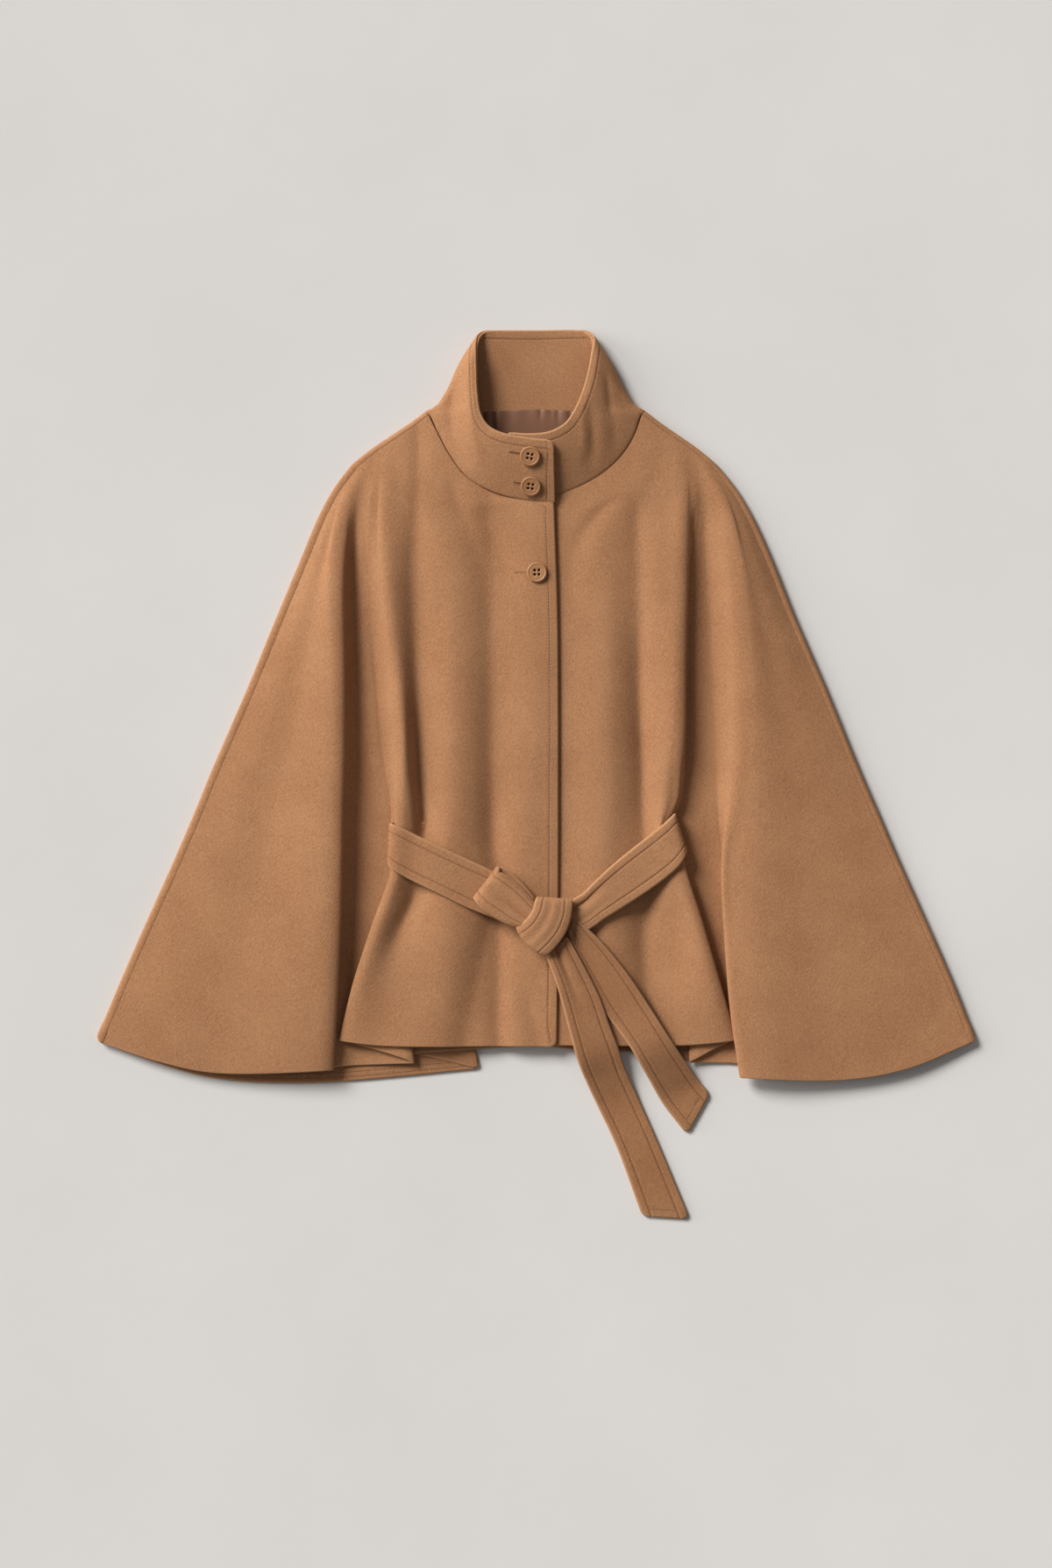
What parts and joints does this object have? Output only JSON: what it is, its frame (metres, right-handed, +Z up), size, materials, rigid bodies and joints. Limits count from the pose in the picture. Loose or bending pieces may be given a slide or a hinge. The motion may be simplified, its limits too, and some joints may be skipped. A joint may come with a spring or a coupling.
{
  "type": "wool cape",
  "caption": "Hip-length wool cape with wide wings, a tall funnel collar, a lapped buttoned front and a tied belt through side slits, lying flat face up.",
  "frame": {"origin": "middle of the cape's outline on the surface it lies on", "axes": "+X to the wearer's left, +Y from hem to collar, +Z up off the surface"},
  "size_m": [1.0029, 1.011, 0.045],
  "materials": {
    "wool": "camel wool coating, brushed with a short diagonal nap",
    "lining": "taupe satin, softly glossy",
    "button": "camel polyester coat button, semi-matt with a raised rim"
  },
  "bodies": {
    "root": {"front_right": "wool", "front_left": "wool", "back": "wool", "collar": "wool", "collar_facing": "wool", "neck_lining": "lining", "belt_run_right": "wool", "belt_run_left": "wool", "belt_back_run": "wool", "belt_loop": "wool", "belt_knot": "wool", "belt_tail_long": "wool", "belt_tail_short": "wool", "button_1": "button", "button_2": "button", "button_3": "button"}
  },
  "joints": []
}
